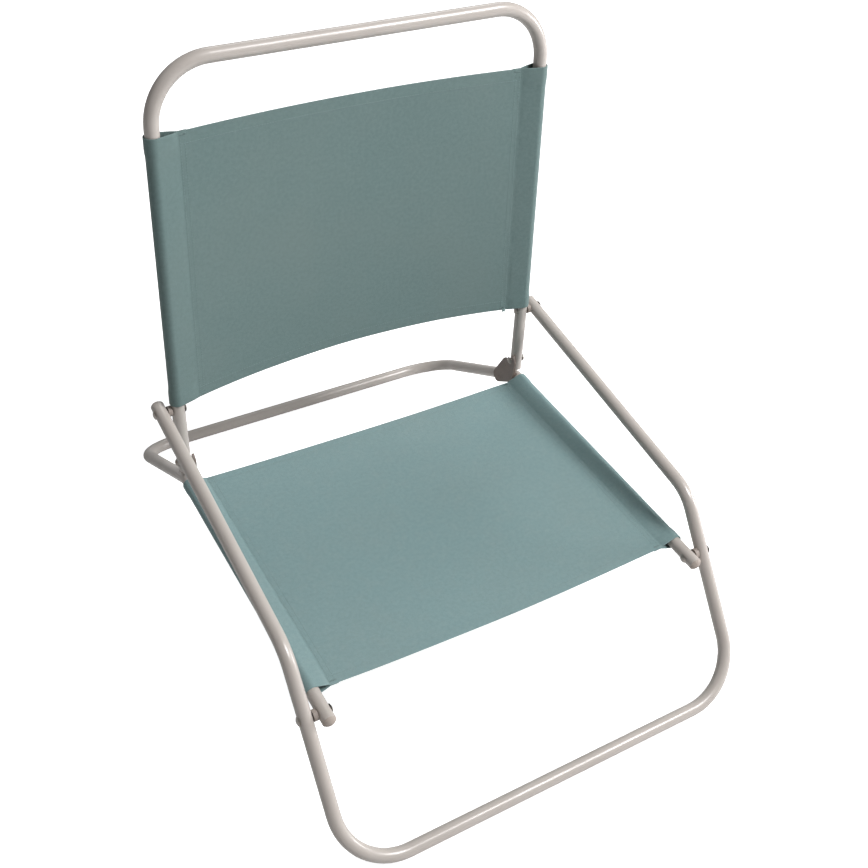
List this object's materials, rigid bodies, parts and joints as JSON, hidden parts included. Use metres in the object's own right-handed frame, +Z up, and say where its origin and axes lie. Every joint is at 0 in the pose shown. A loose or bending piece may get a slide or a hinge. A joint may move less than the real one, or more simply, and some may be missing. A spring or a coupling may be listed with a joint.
{
  "type": "folding camp chair",
  "caption": "Low folding camp chair: bent steel leg frame, seat tube and backrest on riveted pivots, with a seat sling and a back sling of plain woven fabric.",
  "frame": {"origin": "on the ground, under the middle of the chair's overall box", "axes": "+X to the right of someone who faces the chair's rear, +Y to the rear, +Z up; the chair faces -Y"},
  "size_m": [0.551, 0.722, 0.6635],
  "materials": {
    "painted_steel": "semi-gloss powder coat, warm off-white",
    "rivet_steel": "dull zinc-plated steel",
    "plug_plastic": "moulded plastic plug, grey-beige",
    "washer_plastic": "moulded nylon washer",
    "seat_fabric": "plain woven coated polyester, teal grey",
    "back_fabric": "plain woven coated polyester, teal grey"
  },
  "bodies": {
    "leg_frame": {"leg_frame_tube": "painted_steel", "arm_plug_left": "plug_plastic", "arm_plug_right": "plug_plastic", "front_rivet_left": "rivet_steel", "front_rivet_right": "rivet_steel", "front_washer_left": "washer_plastic", "front_washer_right": "washer_plastic", "arm_rivet_left": "rivet_steel", "arm_rivet_right": "rivet_steel", "arm_washer_left": "washer_plastic", "arm_washer_right": "washer_plastic"},
    "seat": {"seat_tube": "painted_steel", "rail_plug_left": "plug_plastic", "rail_plug_right": "plug_plastic", "hook_plate_left": "painted_steel", "hook_plate_right": "painted_steel", "seat_sling": "seat_fabric"},
    "backrest": {"backrest_tube": "painted_steel", "upright_plug_left": "plug_plastic", "upright_plug_right": "plug_plastic", "hook_pin_left": "rivet_steel", "hook_pin_right": "rivet_steel", "back_sling": "back_fabric"}
  },
  "joints": [
    {"name": "seat_pivot", "type": "hinge", "parent": "leg_frame", "child": "seat", "pos_m": [0, -0.23673, 0.144], "axis": [1, 0, 0], "range_deg": [-12, 0]},
    {"name": "backrest_pivot", "type": "hinge", "parent": "leg_frame", "child": "backrest", "pos_m": [0, 0.16046, 0.24317], "axis": [1, 0, 0], "range_deg": [0, 105]}
  ]
}
